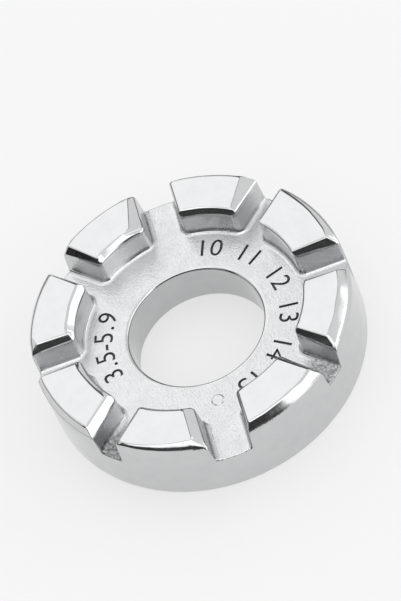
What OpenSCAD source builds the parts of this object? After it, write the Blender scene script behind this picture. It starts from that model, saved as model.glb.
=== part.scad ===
// Round spoke wrench: one chrome-plated ring with eight graded jaws between its lugs.
// Origin: centre of the bottom face. +Z runs up through the bore to the lug tops,
// and the two widest jaws lie on the Y axis.

/* [Ring] */
// Outside diameter at the foot of the ring
ring_d = 52; // [48:0.5:60]
// Height from the bottom face to the lug tops
ring_h = 12.6; // [11.5:0.1:15]
// Thickness of the web, which is also the floor of every jaw
web_h = 7.3; // [5:0.1:8.5]
// Diameter of the central finger bore
bore_d = 22; // [16:0.5:26]
// Diameter of the lugs' inner wall where it meets the web
rim_d = 36.6; // [34:0.2:40]

/* [Jaw widths at the floor] */
// Jaw on +X
jaw_1_w = 4.4; // [3:0.05:6.5]
// Jaw between +X and +Y
jaw_2_w = 3.85; // [3:0.05:6.5]
// Jaw on +Y
jaw_3_w = 5.1; // [3:0.05:6.5]
// Jaw between +Y and -X
jaw_4_w = 3.5; // [3:0.05:6.5]
// Jaw on -X
jaw_5_w = 4; // [3:0.05:6.5]
// Jaw between -X and -Y
jaw_6_w = 3.7; // [3:0.05:6.5]
// Jaw on -Y
jaw_7_w = 5.9; // [3:0.05:6.5]
// Jaw between -Y and +X
jaw_8_w = 3.7; // [3:0.05:6.5]

/* [Draft angles] */
// Lean of the ring's outer wall
outer_draft = 0.5; // [0.2:0.1:2]
// Lean of the lugs' inner wall
inner_draft = 1.5; // [0.5:0.5:4]
// Lean of each jaw wall
jaw_draft = 4.5; // [1:0.5:7]

/* [Edges] */
// Rounding along both edges of a jaw's mouth
mouth_r = 1; // [0.4:0.1:1.4]
// Rounding of the lugs' inner top edge
lug_in_r = 1; // [0.4:0.1:1.4]
// Rounding of the lugs' outer top edge
lug_out_r = 1.2; // [0.4:0.1:1.6]
// Depth that grinding the lug tops flat takes off those roundings
top_grind = 0.12; // [0.05:0.01:0.2]
// Fillet where lug walls meet the web
foot_r = 0.5; // [0.2:0.1:0.8]
// Rounding of the bore's top edge
bore_lip_r = 0.5; // [0.2:0.1:1]
// Rounding of the two bottom edges
base_r = 0.4; // [0.2:0.1:1]

/* [Hidden] */
$fn = 128;
overrun = 1;
// Arcs are drawn this much larger than their radius, so that they cross their sides cleanly
arc_share = 1.01;
jaw_count = 8;
jaw_pitch = 360 / jaw_count;
jaw_w = [jaw_1_w, jaw_2_w, jaw_3_w, jaw_4_w, jaw_5_w, jaw_6_w, jaw_7_w, jaw_8_w];
ring_r = ring_d / 2;
bore_r = bore_d / 2;
rim_r = rim_d / 2;
cast_h = ring_h + top_grind;
lug_h = cast_h - web_h;
crest_out_r = ring_r - cast_h * tan(outer_draft);
crest_in_r = rim_r + lug_h * tan(inner_draft);
jaw_lean = lug_h * tan(jaw_draft);
jaw_start = rim_r - foot_r - overrun;
jaw_run = ring_r - jaw_start + overrun;
right = [1, 0];
up = [0, 1];
rim_up = [sin(inner_draft), cos(inner_draft)];
chrome_color = [0.80, 0.81, 0.82];

// Area between a corner at p and the arc of radius r that touches both of its sides.
// a and b are unit directions from the corner along the sides.
module corner_web(p, a, b, r) {
    turn = acos(a * b);
    run = r / tan(turn / 2);
    mid = (a + b) / norm(a + b);
    hub = p + mid * r / sin(turn / 2);
    difference() {
        polygon([p - mid * overrun, p + a * run, hub, p + b * run]);
        translate(hub) circle(r * arc_share);
    }
}

// Half section of the cast ring before its lug tops are ground
module cast_section() {
    out_up = [-sin(outer_draft), cos(outer_draft)];
    difference() {
        polygon([
            [bore_r, 0], [ring_r, 0], [crest_out_r, cast_h],
            [crest_in_r, cast_h], [rim_r, web_h], [bore_r, web_h]
        ]);
        corner_web([bore_r, 0], right, up, base_r);
        corner_web([ring_r, 0], -right, out_up, base_r);
        corner_web([crest_out_r, cast_h], -right, -out_up, lug_out_r);
        corner_web([crest_in_r, cast_h], right, -rim_up, lug_in_r);
        corner_web([bore_r, web_h], right, -up, bore_lip_r);
    }
}

// Fillet between the web and the lugs' inner wall
module foot_section() {
    corner_web([rim_r, web_h], -right, rim_up, foot_r);
}

// Half section with the lug tops ground flat
module ground_section() {
    difference() {
        cast_section();
        translate([bore_r, ring_h]) square([ring_r, overrun]);
    }
}

// Cross section of one jaw: leaning walls, filleted floor corners, rounded mouth
module jaw_section(w) {
    half = w / 2;
    for (side = [-1, 1])
        corner_web([side * (half + jaw_lean), cast_h], [side, 0],
                   [-side * sin(jaw_draft), -cos(jaw_draft)], mouth_r);
    difference() {
        polygon([
            [-half, web_h], [half, web_h],
            [half + jaw_lean, cast_h], [-half - jaw_lean, cast_h]
        ]);
        for (side = [-1, 1])
            corner_web([side * half, web_h], [-side, 0],
                       [side * sin(jaw_draft), cos(jaw_draft)], foot_r);
    }
}

// Solid that cuts one jaw out of the rim, along its own +X
module jaw_cutter(w) {
    translate([jaw_start, 0, 0]) rotate([90, 0, 90])
        linear_extrude(jaw_run) jaw_section(w);
}

module wrench_body() {
    color(chrome_color) difference() {
        union() {
            rotate_extrude() ground_section();
            rotate_extrude() foot_section();
        }
        for (i = [0 : jaw_count - 1])
            rotate([0, 0, i * jaw_pitch]) jaw_cutter(jaw_w[i]);
    }
}

wrench_body();
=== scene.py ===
import math

import bmesh
import bpy
from mathutils import Matrix, Vector, noise


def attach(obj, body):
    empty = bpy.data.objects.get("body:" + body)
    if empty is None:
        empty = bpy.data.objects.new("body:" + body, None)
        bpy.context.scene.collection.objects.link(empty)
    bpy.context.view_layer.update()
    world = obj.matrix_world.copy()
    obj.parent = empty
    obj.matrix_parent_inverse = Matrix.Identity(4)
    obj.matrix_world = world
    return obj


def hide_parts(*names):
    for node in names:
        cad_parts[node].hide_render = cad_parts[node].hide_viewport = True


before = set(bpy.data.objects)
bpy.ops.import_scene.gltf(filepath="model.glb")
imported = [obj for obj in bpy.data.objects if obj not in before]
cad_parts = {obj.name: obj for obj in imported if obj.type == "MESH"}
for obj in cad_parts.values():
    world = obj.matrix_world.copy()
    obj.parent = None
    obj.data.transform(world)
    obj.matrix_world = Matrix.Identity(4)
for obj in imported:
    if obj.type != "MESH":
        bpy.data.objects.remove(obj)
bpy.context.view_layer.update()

# Wrench ring
# One cast steel piece: a flat ring with eight lugs, whose gaps are the jaws that grip nipples.
# The lug tops and their edges are linished by hand after casting, so each lug is a little different.
MM = 0.001
bore_r, rim_r, ring_r = 11 * MM, 18.3 * MM, 26 * MM
web_h, ring_h = 7.3 * MM, 12.6 * MM
lug_h = ring_h - web_h
outer_lean, inner_lean, jaw_lean = (math.tan(math.radians(a)) for a in (0.5, 1.5, 4.5))
# Width of each jaw at its floor, counterclockwise from +X
jaw_widths = [w * MM for w in (4.4, 3.85, 5.1, 3.5, 4.0, 3.7, 5.9, 3.7)]
# How each lug's top falls off towards its four walls, in millimetres: how far in from the wall the
# linished flat starts, how much lower the edge is there, and the rounding of that edge. The walls are:
# towards the jaw before it, towards the jaw after it, inner, outer. Six numbers are the two ends of a
# wall, which runs outwards, or from the jaw before to the jaw after.
lug_edges = [
    [(0.75, 0.90, 0.42, 1.12, 1.34, 0.42), (0.50, 0.20, 0.35), (0.45, 0.25, 0.45),
     (1.40, 0.56, 0.50, 0.70, 0.28, 0.50)],
    [(0.65, 0.40, 0.30, 2.40, 0.70, 0.30), (0.60, 0.30, 0.40), (0.85, 1.04, 0.38), (0.50, 0.25, 0.35)],
    [(2.20, 0.75, 0.50, 1.00, 0.45, 0.50), (0.75, 0.90, 0.40, 1.12, 1.34, 0.40), (1.15, 0.75, 0.40),
     (0.50, 0.25, 0.35)],
    [(0.50, 0.25, 0.35), (0.82, 1.00, 0.38, 1.00, 1.20, 0.38), (1.20, 1.15, 0.35), (1.20, 0.45, 0.60)],
    [(0.50, 0.30, 0.35), (1.25, 1.05, 0.45), (1.00, 0.40, 0.75), (0.70, 1.60, 0.35)],
    [(0.55, 0.30, 0.40), (1.55, 0.50, 0.60), (0.65, 0.40, 0.45), (0.50, 0.35, 0.60, 1.50, 1.15, 1.30)],
    [(0.55, 0.35, 0.40), (0.60, 0.35, 0.40), (0.45, 0.25, 0.35), (1.00, 1.40, 0.50, 1.50, 1.20, 0.70)],
    [(0.78, 0.94, 0.42, 1.10, 1.32, 0.42), (0.50, 0.25, 0.35), (0.50, 0.30, 0.35),
     (1.80, 1.10, 0.80, 1.60, 1.10, 0.80)],
]
FLAT, FALL, ROUND = 0, 1, 2
BEFORE, AFTER, INNER, OUTER = 0, 1, 2, 3
# Where a lug's inner wall turns into a jaw wall, it follows a quarter circle in six steps.
# Each pair says how far a step is from either wall, as a share of the circle's radius.
quarter = [(1 - math.cos(t), 1 - math.sin(t)) for t in (math.pi * k / 12 for k in (3, 4, 5, 6))]
# Radius of that quarter circle at the lug's foot and at its top
foot_quarter, top_quarter = 1.1 * MM, 0.7 * MM
jaw_cells, lug_cells = 4, 16
corner_cells = len(quarter) - 1
cells = jaw_cells + lug_cells
pitch = math.tau / len(jaw_widths)
# How far past a jaw wall the next points of the outer wall stand
first_outer_cell = 2.3 * MM
# From the middle of one jaw to the next, a lug starts at about this share of the way and takes this share
lug_start, lug_span = 0.12, 0.76
# How strongly hand work varies the flats' edges and the roundings, and over what length
flat_wave, flat_wave_run = 0.12, 2.5 * MM
round_wave, round_wave_run = 0.15, 2 * MM
# Points of a flat closer than the first of these are merged, and any points closer than the second
flat_gap, same_place = 0.4 * MM, 0.001 * MM
# A normal that rises more than these faces up, belongs to a slope and not a wall, or is level
faces_up, slopes_up, level_up = 0.5, 0.3, 0.9999

# The section is spun into a blank, and the sectors for the lugs are raised from it
bm = bmesh.new()
rows = [bore_r] + [rim_r + step * foot_quarter for step in (0, 0.5, 0.75, 1)] + [ring_r]
section = [(r, web_h) for r in rows] + [(ring_r, 0), (bore_r, 0)]
corners = [bm.verts.new((r, 0, z)) for r, z in section]
sides = [bm.edges.new((a, b)) for a, b in zip(corners, corners[1:] + corners[:1])]
bmesh.ops.spin(bm, geom=corners + sides, cent=(0, 0, 0), axis=(0, 0, 1), dvec=(0, 0, 0),
               angle=math.tau, steps=cells * len(jaw_widths), use_merge=True, use_duplicate=False)
bmesh.ops.recalc_face_normals(bm, faces=bm.faces)


def column_of(place):
    """Column of a point of the blank, counted from the middle of the jaw on +X."""
    return math.atan2(place.y, place.x) / pitch * cells


lug_blanks = []
for face in bm.faces:
    middle = face.calc_center_median()
    if face.normal.z > faces_up and middle.xy.length > rim_r:
        if jaw_cells / 2 < column_of(middle) % cells < cells - jaw_cells / 2:
            lug_blanks.append(face)
raised = bmesh.ops.extrude_face_region(bm, geom=lug_blanks)["geom"]
bmesh.ops.delete(bm, geom=lug_blanks, context="FACES")
top_faces = [item for item in raised if isinstance(item, bmesh.types.BMFace)]
top_faces = bmesh.ops.dissolve_faces(bm, faces=top_faces, use_verts=False)["region"]
tops = {v for face in top_faces for v in face.verts}
bmesh.ops.delete(bm, geom=[v for v in bm.verts if not v.link_faces], context="VERTS")
column = {v: round(column_of(v.co)) for v in bm.verts}
row = {v: min(range(len(rows)), key=lambda i, r=v.co.xy.length: abs(rows[i] - r)) for v in bm.verts}


def polar(place):
    """Nearest jaw, side of it, distance from its middle plane, and radius."""
    turn = math.atan2(place.y, place.x)
    jaw = round(turn / pitch)
    y = place.xy.length * math.sin(turn - jaw * pitch)
    return jaw, (1 if y > 0 else -1), abs(y), place.xy.length


# Each point is brought to its wall: the jaw walls are parallel planes, which lean as castings do
for v in bm.verts:
    jaw = round(column[v] / cells)
    step = column[v] - jaw * cells
    side = 1 if step > 0 else -1
    past_wall = abs(step) - jaw_cells // 2
    rise = lug_h if v in tops else 0
    z = web_h + rise if v in tops else v.co.z
    size = top_quarter if v in tops else foot_quarter
    wall = jaw_widths[jaw % len(jaw_widths)] / 2 + rise * jaw_lean
    other = jaw_widths[(jaw + side) % len(jaw_widths)] / 2 + rise * jaw_lean
    rim = rim_r + rise * inner_lean
    r = v.co.xy.length
    if row[v] == 0:
        turn = pitch * step / cells
    elif row[v] == len(rows) - 1:
        r = ring_r - z * outer_lean
        start = math.asin((wall + first_outer_cell) / r)
        end = pitch - math.asin((other + first_outer_cell) / r)
        if past_wall <= 0:
            turn = math.asin(wall * step / (jaw_cells / 2) / r)
        else:
            turn = side * (start + (end - start) * (past_wall - 1) / (lug_cells - 2))
    else:
        along, across = quarter[row[v] - 1]
        if past_wall < 0:
            r = rim + along * size if row[v] > 1 else rim
            turn = math.asin(wall * step / (jaw_cells / 2) / r)
        elif past_wall == 0:
            r = rim + along * size
            turn = side * math.asin((wall + across * size) / r)
        elif past_wall <= corner_cells:
            along, across = quarter[past_wall]
            r = rim + across * size
            turn = side * math.asin((wall + along * size) / r)
        else:
            start, end = math.asin((wall + size) / r), pitch - math.asin((other + size) / r)
            share = (past_wall - corner_cells) / (lug_cells - 2 * corner_cells)
            turn = side * (start + (end - start) * share)
            r = rim
    turn += jaw * pitch
    v.co = (r * math.cos(turn), r * math.sin(turn), z)

# The linished flat: a smaller face inside each lug top, from which the top falls off to its edges
crest = ring_r - ring_h * outer_lean
rim_crest = rim_r + lug_h * inner_lean


def walls_near(place):
    """How far a point on a lug top is from its jaw wall, inner and outer wall, with their sizes there."""
    jaw, side, y, r = polar(place)
    before = jaw if side > 0 else jaw - 1
    edges = lug_edges[before % len(jaw_widths)]
    wall = jaw_widths[jaw % len(jaw_widths)] / 2 + lug_h * jaw_lean
    turn = math.atan2(place.y, place.x)
    outwards = (r - rim_crest) / (crest - rim_crest)
    onwards = ((turn / pitch - before) - lug_start) / lug_span
    found = []
    for far, share, ends in ((y - wall, outwards, edges[BEFORE if side > 0 else AFTER]),
                             (r - rim_crest, onwards, edges[INNER]), (crest - r, onwards, edges[OUTER])):
        share = min(max(share, 0), 1)
        found.append((far, [a + (b - a) * share for a, b in zip(ends[:3], ends[-3:])]))
    return found


flats = bmesh.ops.extrude_discrete_faces(bm, faces=top_faces)["faces"]
flat_verts = {v for face in flats for v in face.verts}
for v in flat_verts:
    jaw, side, y, r = polar(v.co)
    (from_wall, beside), (from_rim, inner), (from_crest, outer) = walls_near(v.co)
    ripple = 1 + flat_wave * noise.noise(v.co / flat_wave_run)
    new_r = min(max(r, rim_crest + inner[FLAT] * MM * ripple), crest - outer[FLAT] * MM * ripple)
    new_y = y - from_wall + beside[FLAT] * MM * ripple
    turn = jaw * pitch + side * max(math.asin(y / r), math.asin(new_y / new_r))
    v.co = (new_r * math.cos(turn), new_r * math.sin(turn), ring_h)
for v in tops:
    falls = (max(0, 1 - far / (size[FLAT] * MM)) * size[FALL] * MM for far, size in walls_near(v.co))
    v.co.z -= math.hypot(*falls)
# What is merged depends on the points' order, so they are sorted by place to give the same result each run
bmesh.ops.remove_doubles(bm, verts=sorted(flat_verts, key=lambda v: v.co[:]), dist=flat_gap)
bmesh.ops.dissolve_degenerate(bm, edges=bm.edges, dist=same_place)

# Rounding of each edge, in millimetres
corner_round, foot_round, floor_round, bottom_round, bore_round, flat_round = 0.4, 0.7, 0.4, 0.4, 0.5, 0.3
# One jaw's floor looks scooped, so the fillets within this turn of its middle are wider
scooped_round, scooped_jaw, scooped_reach = 0.85, math.radians(-45), math.radians(15)
# The bevel's own width, of which each edge takes its share
widest_round = 1.5
# The slope between a lug's edge and its flat is shared by their two roundings, with a plain strip between.
# Where the slope narrows to a corner, both take less.
edge_share, flat_share, corner_share = 0.5, 0.3, 0.3
mid_lug = web_h + 0.5 * lug_h
# Edges with a smaller angle than this stay as they are, apart from the flats' own
plain_angle = math.radians(30)
weight = bm.edges.layers.float.new("bevel_weight_edge")
bm.normal_update()
for edge in bm.edges:
    middle = (edge.verts[0].co + edge.verts[1].co) / 2
    rise = abs(edge.verts[0].co.z - edge.verts[1].co.z)
    if len(edge.link_faces) < 2:
        continue
    low, high = sorted(edge.link_faces, key=lambda face: face.normal.z)
    angle = edge.calc_face_angle(0)
    slopes = []
    for face in edge.link_faces:
        across = [v.co for v in face.verts if v not in edge.verts]
        if middle.z > mid_lug and slopes_up < face.normal.z < level_up:
            width = (sum(across, Vector()) / len(across) - middle).length / MM
            slopes.append(width * (corner_share if len(across) == 1 else 1))
    if low.normal.z > faces_up and high.normal.z > level_up and middle.z > ring_h - 10 * same_place:
        size = min([flat_round] + [flat_share * slope for slope in slopes])
    elif angle < plain_angle:
        continue
    elif middle.z > mid_lug and high.normal.z > faces_up:
        (_, beside), (_, inner), (_, outer) = walls_near(middle)
        facing = low.normal.xy.normalized().dot(middle.xy.normalized())
        end = (outer if facing > 0 else inner)[ROUND]
        size = beside[ROUND] + (end - beside[ROUND]) * facing ** 2
        size *= 1 + round_wave * noise.noise(middle / round_wave_run)
        size = min([size] + [edge_share * slope for slope in slopes])
    elif rise > lug_h / 2:
        size = corner_round
    elif middle.z < MM:
        size = bottom_round
    elif middle.xy.length < rim_r - MM:
        size = bore_round
    else:
        scooped = abs(math.atan2(middle.y, middle.x) - scooped_jaw) < scooped_reach
        size = floor_round if edge.is_convex else scooped_round if scooped else foot_round
    edge[weight] = size / widest_round

mesh = bpy.data.meshes.new("wrench_ring")
bm.to_mesh(mesh)
bm.free()
ring = bpy.data.objects.new("wrench_ring", mesh)
bpy.context.scene.collection.objects.link(ring)
rounding = ring.modifiers.new("rounding", "BEVEL")
rounding.limit_method, rounding.width, rounding.segments = "WEIGHT", widest_round * MM, 5
rounding.profile, rounding.use_clamp_overlap = 0.5, False

# Size numbers and ejector mark
# The web carries stamped numbers, whose grooves are coloured dark grey as painted shade: the spoke gauges
# that the jaws take, and the range of their widths. A low flat-topped disc is where the casting was pushed
# out.
digit_size, digit_depth, digits_r = 4.5 * MM, 0.3 * MM, 14.9 * MM
bm = bmesh.new()


def stamp(text, middle_turn, glyph_turn):
    """Adds digits with their tops outwards, so many degrees apart, as solids that cut grooves."""
    for i, glyph in enumerate(text):
        if glyph == " ":
            continue
        letters = bpy.data.curves.new("digit", "FONT")
        letters.body, letters.size, letters.extrude = glyph, digit_size, digit_depth
        letters.align_x, letters.align_y = "CENTER", "CENTER"
        shown = bpy.data.objects.new("digit", letters)
        bpy.context.scene.collection.objects.link(shown)
        solid = bpy.data.meshes.new_from_object(shown.evaluated_get(bpy.context.evaluated_depsgraph_get()))
        turn = math.radians(middle_turn - glyph_turn * (i - (len(text) - 1) / 2))
        outwards = Matrix.Translation((0, digits_r, web_h))
        solid.transform(Matrix.Rotation(turn - math.pi / 2, 4, "Z") @ outwards)
        bm.from_mesh(solid)
        bpy.data.meshes.remove(solid)
        bpy.data.objects.remove(shown)


stamp("10 11 12 13 14 15", 0, 9)
stamp("3.5-5.9", 172, 7.3)
bmesh.ops.remove_doubles(bm, verts=bm.verts, dist=same_place)
for face in bm.faces:
    face.material_index = 1
cutter_mesh = bpy.data.meshes.new("cutter")
bm.to_mesh(cutter_mesh)
bm.free()
cutter = bpy.data.objects.new("cutter", cutter_mesh)
bpy.context.scene.collection.objects.link(cutter)
# The mark is a blunt cone: its radius at the web, its rise, how far its side leans in on that rise,
# and how many times the rise it reaches into the web. Its rim is rounded.
mark_r, mark_rise, mark_run, mark_sink = 1.05 * MM, 0.19 * MM, 0.22 * MM, 3
mark_rim_round, mark_y = 0.06 * MM, -14.97 * MM
bm = bmesh.new()
place = Matrix.Translation((0, mark_y, web_h + mark_rise * (1 - mark_sink) / 2))
bmesh.ops.create_cone(bm, cap_ends=True, segments=64, radius1=mark_r + mark_run * mark_sink,
                      radius2=mark_r - mark_run, depth=mark_rise * (1 + mark_sink), matrix=place)
mark_rim = [edge for edge in bm.edges if all(v.co.z > web_h for v in edge.verts)]
bmesh.ops.bevel(bm, geom=mark_rim, offset=mark_rim_round, offset_type="OFFSET", segments=3, profile=0.5,
                affect="EDGES", material=-1)
mark_mesh = bpy.data.meshes.new("mark")
bm.to_mesh(mark_mesh)
bm.free()
mark = bpy.data.objects.new("mark", mark_mesh)
bpy.context.scene.collection.objects.link(mark)
joined = ring.modifiers.new("raised_mark", "BOOLEAN")
joined.operation, joined.solver, joined.object = "UNION", "EXACT", mark
grooves = ring.modifiers.new("grooves", "BOOLEAN")
grooves.operation, grooves.solver, grooves.object = "DIFFERENCE", "EXACT", cutter
grooves.material_mode, grooves.use_self = "INDEX", True
bpy.context.view_layer.update()
cut = bpy.data.meshes.new_from_object(ring.evaluated_get(bpy.context.evaluated_depsgraph_get()))
ring.modifiers.clear()
ring.data = cut
cut.name = "wrench_ring"
# No point stands above the solid's top
for v in cut.vertices:
    v.co.z = min(v.co.z, ring_h)
bpy.data.objects.remove(cutter)
bpy.data.objects.remove(mark)
cut.shade_smooth()
cut.set_sharp_from_angle(angle=math.radians(40))
normals = ring.modifiers.new("flat_faces", "WEIGHTED_NORMAL")
normals.keep_sharp, normals.weight = True, 100

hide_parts("wrench_body")
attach(ring, "root")


# Chrome plate
# Bright decorative chromium over nickel: a cool white metal. It copies the surface below, so it is a
# mirror on the linished tops, a little wavy on the walls, and satin where the casting was shot-blasted.
def node(tree, kind, settings=None, **links):
    """Adds one node, with its settings, and what goes into its sockets."""
    made = tree.nodes.new(kind)
    for name, value in (settings or {}).items():
        setattr(made, name, value)
    for name, value in links.items():
        socket = made.inputs[int(name[1:])] if name[0] == "_" else made.inputs[name.replace("_", " ")]
        if isinstance(value, bpy.types.NodeSocket):
            tree.links.new(value, socket)
        else:
            socket.default_value = value
    return made


def linear(code):
    """sRGB hex to linear RGBA."""
    parts = [int(code[i:i + 2], 16) / 255 for i in (1, 3, 5)]
    return [c / 12.92 if c <= 0.04045 else ((c + 0.055) / 1.055) ** 2.4 for c in parts] + [1]


def ramp(tree, value, start, end, kind="SMOOTHSTEP", **ends):
    """Takes a value that goes from start to end to one that goes from 0 to 1, or between the ends given."""
    return node(tree, "ShaderNodeMapRange", {"interpolation_type": kind}, Value=value, From_Min=start,
                From_Max=end, **ends).outputs[0]


def line(tree, value, start=0.0, end=1.0, **ends):
    """The same with a straight run."""
    return ramp(tree, value, start, end, "LINEAR", **ends)


def maths(tree, operation, first, second):
    """One sum, product or the like of two values."""
    return node(tree, "ShaderNodeMath", {"operation": operation}, _0=first, _1=second).outputs[0]


def lumps(tree, place, size, **shape):
    """Noise with lumps of this size."""
    return node(tree, "ShaderNodeTexNoise", Vector=place, Scale=1 / size, **shape).outputs["Fac"]


def bump(tree, height, depth, **below):
    """Bump of this depth, on top of one below it if that is given."""
    return node(tree, "ShaderNodeBump", Height=height, Strength=1.0, Distance=depth, **below).outputs[0]


def dim(tree, colour, share, where=None):
    """Scales a colour by a share, everywhere or as far as a mask says."""
    if where is not None:
        share = node(tree, "ShaderNodeMix", {"data_type": "FLOAT"}, Factor=where, _2=1.0, _3=share).outputs[0]
    return node(tree, "ShaderNodeVectorMath", {"operation": "SCALE"}, _0=colour, Scale=share).outputs[0]


def two_tones(tree, factor, first, second):
    """Mixes two hex colours."""
    mix = node(tree, "ShaderNodeMix", {"data_type": "RGBA"}, Factor=factor)
    mix.inputs["A"].default_value, mix.inputs["B"].default_value = linear(first), linear(second)
    return mix.outputs["Result"]


chrome = bpy.data.materials.new("chrome_plate_on_cast_steel")
chrome.use_nodes = True
tree = chrome.node_tree
shader = tree.nodes["Principled BSDF"]
place = node(tree, "ShaderNodeTexCoord").outputs["Object"]
height = node(tree, "ShaderNodeSeparateXYZ", Vector=place).outputs["Z"]
flat = node(tree, "ShaderNodeVectorMath", {"operation": "MULTIPLY"}, _0=place, _1=(1, 1, 0)).outputs[0]
radius = node(tree, "ShaderNodeVectorMath", {"operation": "LENGTH"}, _0=flat).outputs["Value"]
# The satin is where all these masks are: past the bore's edge, inside the outer wall, above the web's
# level, below the polished tops, and on the web or, a little weaker, on the walls above their foot
past_bore = ramp(tree, radius, bore_r + 0.1 * MM, bore_r + 0.7 * MM)
inside_wall = ramp(tree, radius, ring_r - 0.1 * MM, ring_r - 0.2 * MM)
above = ramp(tree, height, web_h - 0.5 * MM, web_h - 0.2 * MM)
below = ramp(tree, height, ring_h - 1.1 * MM, ring_h - 1.5 * MM)
on_web = line(tree, height, web_h + 0.27 * MM, web_h + 0.2 * MM, To_Min=0.1)
on_wall = line(tree, height, web_h + 0.5 * MM, web_h + 1.0 * MM, To_Max=0.9)
blasted = maths(tree, "MAXIMUM", on_web, on_wall)
satin = past_bore
for part in (inside_wall, above, below, blasted):
    satin = maths(tree, "MULTIPLY", satin, part)
mirror = line(tree, height, ring_h - 0.5 * MM, ring_h - 0.05 * MM)

# Blast grain is finer on a real casting, and is drawn this coarse so that it shows from where the camera is
blast = lumps(tree, place, 0.24 * MM, Detail=2.0, Roughness=0.5)
wave = lumps(tree, place, 1.6 * MM, Detail=2.0)
cloud = lumps(tree, place, 2.5 * MM, Detail=4.0, Roughness=0.6)
wave_depth, blast_depth, skin_depth = 0.014 * MM, 0.052 * MM, 0.15 * MM
polish = line(tree, mirror, To_Min=0.0, To_Max=0.05)
rough = maths(tree, "SUBTRACT", line(tree, satin, To_Min=0.14, To_Max=0.24), polish)
smudge = line(tree, cloud, 0.35, 0.7, To_Min=-0.02, To_Max=0.05)
rough = maths(tree, "ADD", rough, smudge)
wavy = bump(tree, wave, wave_depth)
grainy = bump(tree, maths(tree, "MULTIPLY", satin, blast), blast_depth, Normal=wavy)
# Painted shade: the plate's tint is darker in the pits of the grain, lighter on its crests, and darker on the
# bore's wall
tint = two_tones(tree, cloud, "#D4D4D5", "#C8C9CA")
pit_shade = line(tree, blast, 0.34, 0.52, To_Min=0.97, To_Max=1.04)
tint = dim(tree, tint, pit_shade, maths(tree, "MULTIPLY", satin, on_web))
# Painted shade on the bore's wall, darker towards the bore
bore_shade = line(tree, radius, bore_r + 0.05 * MM, bore_r + 0.4 * MM, To_Min=0.88)
tint = dim(tree, tint, bore_shade)
# Two jaw floors are left rough as cast at their outer ends, and are darkened there in a mottle that is partly
# worn rough skin and partly painted shade of its hollows and of the dark wall it mirrors. Each has the turn
# of its jaw in degrees, how far the skin reaches in millimetres, and how strong it is. Its lumps are drawn
# coarser than real, like the grain.
coarse = lumps(tree, place, 0.42 * MM, Detail=3.0, Roughness=0.7)
low = ramp(tree, height, web_h + 1.3 * MM, web_h + 0.3 * MM)
skin_r, skin_core = 25 * MM, 0.45
cast_skin_and_shade = 0.0
for jaw_turn, reach, strength in ((-45, 6.6, 0.8), (-135, 5.0, 1.0)):
    heart = [skin_r * math.cos(math.radians(jaw_turn)), skin_r * math.sin(math.radians(jaw_turn)), 0]
    away = node(tree, "ShaderNodeVectorMath", {"operation": "DISTANCE"}, _0=flat, _1=heart).outputs["Value"]
    there = ramp(tree, away, reach * MM, reach * skin_core * MM, To_Max=strength)
    cast_skin_and_shade = maths(tree, "ADD", there, cast_skin_and_shade)
for part in (low, above, inside_wall):
    cast_skin_and_shade = maths(tree, "MULTIPLY", cast_skin_and_shade, part)
mottle_and_shade = line(tree, coarse, 0.38, 0.62, To_Min=0.25, To_Max=0.75)
# Darkens the tint there: partly worn rough skin, partly painted shade in its hollows
tint = dim(tree, tint, mottle_and_shade, cast_skin_and_shade)
grainy = bump(tree, maths(tree, "MULTIPLY", cast_skin_and_shade, coarse), skin_depth, Normal=grainy)
tree.links.new(tint, shader.inputs["Base Color"])
tree.links.new(rough, shader.inputs["Roughness"])
tree.links.new(grainy, shader.inputs["Normal"])
shader.inputs["Metallic"].default_value = 1

# Stamping with painted shade
# A dull dark grey with paler patches in the grooves: painted shade, which makes the numbers readable on the
# bright web.
groove = bpy.data.materials.new("stamping_painted_shade")
groove.use_nodes = True
tree = groove.node_tree
shader = tree.nodes["Principled BSDF"]
place = node(tree, "ShaderNodeTexCoord").outputs["Object"]
patch = lumps(tree, place, 0.3 * MM, Detail=3.0)
tint = two_tones(tree, patch, "#3A3B3D", "#6A6C6E")
tree.links.new(tint, shader.inputs["Base Color"])
shader.inputs["Metallic"].default_value = 0.6
shader.inputs["Roughness"].default_value = 0.6
for material in (chrome, groove):
    cut.materials.append(material)

# Paper sweep
# A plain pale sheet under the piece. The camera and the metal see it partly as a glow, so that it comes out
# almost white and the outer wall mirrors a light floor. A hair's gap keeps it clear of the piece.
floor_gap, glow_share = 0.05 * MM, 0.6
bpy.ops.mesh.primitive_plane_add(size=4, location=(0, 0, -floor_gap))
floor = bpy.context.object
floor.name = "floor"
paper = bpy.data.materials.new("white_card")
paper.use_nodes = True
tree = paper.node_tree
card = tree.nodes["Principled BSDF"]
card.inputs["Base Color"].default_value = linear("#F2F2F2")
card.inputs["Roughness"].default_value = 0.9
ray = node(tree, "ShaderNodeLightPath").outputs
seen = maths(tree, "ADD", ray["Is Camera Ray"], ray["Is Glossy Ray"])
share = maths(tree, "MULTIPLY", seen, glow_share)
share.node.use_clamp = True
glow = node(tree, "ShaderNodeEmission", Color=(0.95, 0.95, 0.95, 1)).outputs[0]
mixed = node(tree, "ShaderNodeMixShader", Fac=share, _1=card.outputs[0], _2=glow).outputs[0]
tree.links.new(mixed, tree.nodes["Material Output"].inputs["Surface"])
floor.data.materials.append(paper)


# Studio light
# A wide soft light above and behind, a lower one on the right, and a pale room with a few cards and screens.
def lamp(name, place, size, power):
    """Adds an area light that faces the piece."""
    data = bpy.data.lights.new(name, "AREA")
    data.shape, data.size, data.size_y, data.energy = "RECTANGLE", size[0], size[1], power
    made = bpy.data.objects.new(name, data)
    made.location = place
    made.rotation_euler = Vector(place).to_track_quat("Z", "Y").to_euler()
    bpy.context.scene.collection.objects.link(made)


lamp("overhead", (-0.25, 0.56, 0.67), (0.76, 1.26), 1.25)
lamp("right", (0.797, -0.184, 0.38), (1.1, 0.42), 1.6)

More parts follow.
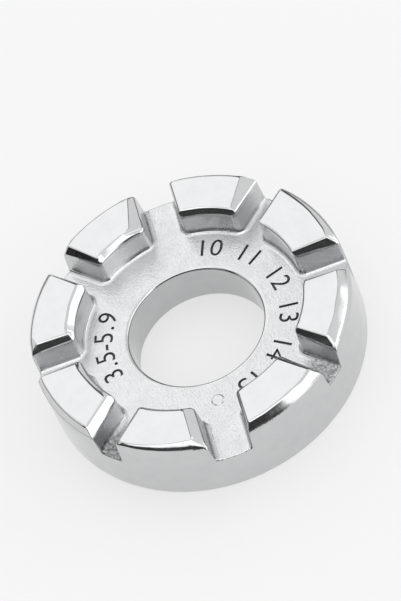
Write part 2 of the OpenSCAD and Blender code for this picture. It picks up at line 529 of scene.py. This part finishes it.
world = bpy.data.worlds.new("studio")
bpy.context.scene.world = world
world.use_nodes = True
tree = world.node_tree
background = tree.nodes["Background"]
direction = node(tree, "ShaderNodeTexCoord").outputs["Generated"]
z = node(tree, "ShaderNodeSeparateXYZ", Vector=direction).outputs["Z"]
height = node(tree, "ShaderNodeMath", {"operation": "ARCSINE"}, _0=z).outputs[0]
level = node(tree, "ShaderNodeVectorMath", {"operation": "MULTIPLY"}, _0=direction, _1=(1, 1, 0)).outputs[0]
level = node(tree, "ShaderNodeVectorMath", {"operation": "NORMALIZE"}, _0=level).outputs[0]
# Cards and screens that only show in reflections: the middle and half width of each in degrees around the
# piece, its top in degrees, and how bright it is. The first is a bright card in front, and the others are a
# black flag by the camera, a grey screen behind and a narrow dark gap.
screens = ((-97, 62, 74, 1.8), (-116, 62, 43, 0.03), (110, 80, 17, 0.2), (75, 4.5, 68, 0.1))
# Half of the width in degrees over which their edges fade, and the room's strength as soft light
edge_fade, fill_share = 4, 0.9
room = 1.0
for turn, half, top, bright in screens:
    middle = [math.cos(math.radians(turn)), math.sin(math.radians(turn)), 0]
    facing = node(tree, "ShaderNodeVectorMath", {"operation": "DOT_PRODUCT"}, _0=level, _1=middle)
    ends = [math.cos(math.radians(half + fade)) for fade in (edge_fade, -edge_fade)]
    across = ramp(tree, facing.outputs["Value"], *ends)
    under = ramp(tree, height, math.radians(top + edge_fade), math.radians(top - edge_fade))
    covered = maths(tree, "MULTIPLY", across, under)
    room = maths(tree, "MULTIPLY", line(tree, covered, To_Min=1.0, To_Max=bright), room)
ray = node(tree, "ShaderNodeLightPath").outputs
seen = maths(tree, "ADD", maths(tree, "MULTIPLY", ray["Is Glossy Ray"], room), ray["Is Camera Ray"])
fill = maths(tree, "MULTIPLY", ray["Is Diffuse Ray"], fill_share)
strength = maths(tree, "ADD", seen, fill)
tree.links.new(strength, background.inputs["Strength"])
background.inputs["Color"].default_value = (0.97, 0.97, 0.97, 1)

# Camera
# A long lens from the front and above, turned a little. Its place, turn and focal length bring the ring's
# and the bore's circles to where the photograph has them.
camera_data = bpy.data.cameras.new("camera")
camera_data.lens = 169.63
camera = bpy.data.objects.new("camera", camera_data)
camera.location = (0.03209, -0.27103, 0.35788)
camera.rotation_euler = [math.radians(a) for a in (35.6266, 15.1765, -13.8155)]
bpy.context.scene.collection.objects.link(camera)
bpy.context.scene.camera = camera
bpy.context.scene.view_settings.view_transform = "Standard"
